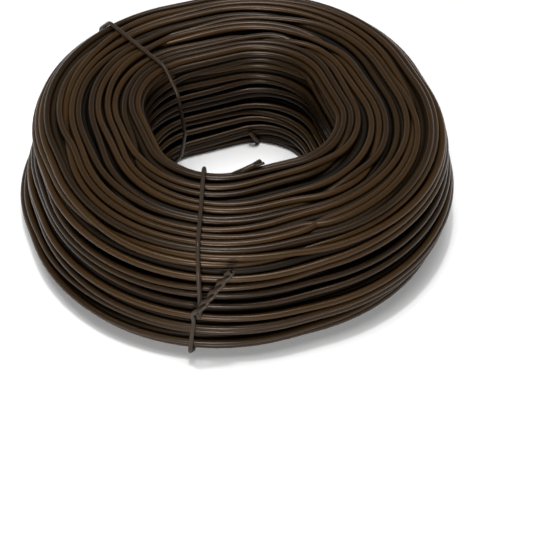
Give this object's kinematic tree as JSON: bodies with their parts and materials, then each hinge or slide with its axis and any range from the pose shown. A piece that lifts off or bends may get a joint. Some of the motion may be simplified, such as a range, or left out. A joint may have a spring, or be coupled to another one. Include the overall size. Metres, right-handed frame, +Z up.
{
  "type": "coil of tie wire",
  "caption": "Small coil of annealed steel wire wound as a rounded square ring with an open bore, held by loops of thinner wire twisted into a tail.",
  "frame": {"origin": "middle of the coil at the floor, where the coil lies on its end", "axes": "+Z up along the coil axis, X and Y square to the flats of the bore, -Y towards the side with the front tie"},
  "size_m": [0.1293, 0.1306, 0.0392],
  "materials": {
    "coil_wire": "annealed and oiled, dull olive brown to black",
    "binding_wire": "annealed, dull dark brown"
  },
  "bodies": {
    "root": {"wire_coil": "coil_wire", "tie_wire_front": "binding_wire", "tie_wire_back": "binding_wire"}
  },
  "joints": []
}
